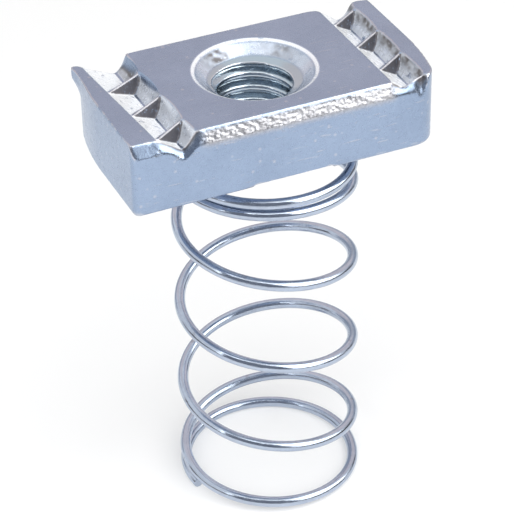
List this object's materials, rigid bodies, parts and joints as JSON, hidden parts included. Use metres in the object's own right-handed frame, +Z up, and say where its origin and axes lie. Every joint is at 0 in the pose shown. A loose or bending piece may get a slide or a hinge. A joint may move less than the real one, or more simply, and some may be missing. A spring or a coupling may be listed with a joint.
{
  "type": "strut channel spring nut",
  "caption": "Rectangular steel channel nut with a threaded hole and toothed grooves, held up by a coil spring under it.",
  "frame": {"origin": "on the thread's axis, in the plane that the spring stands on", "axes": "+Z up along the thread towards its countersunk mouth, +X along the nut's length, +Y along its width"},
  "size_m": [0.035, 0.0204, 0.0518],
  "materials": {
    "channel_nut": "bright zinc plate on steel, smooth faces and rough rolled edges",
    "spring": "bright zinc plated spring wire"
  },
  "bodies": {
    "coil": {"spring": "spring"},
    "nut": {"channel_nut": "channel_nut"}
  },
  "joints": [
    {"name": "spring_compress", "type": "slide", "parent": "coil", "child": "nut", "axis": [0, 0, 1], "range_m": [-0.028, 0], "stiffness_N_per_m": 700, "springref_m": 0.0005, "deforming": ["spring"]}
  ]
}
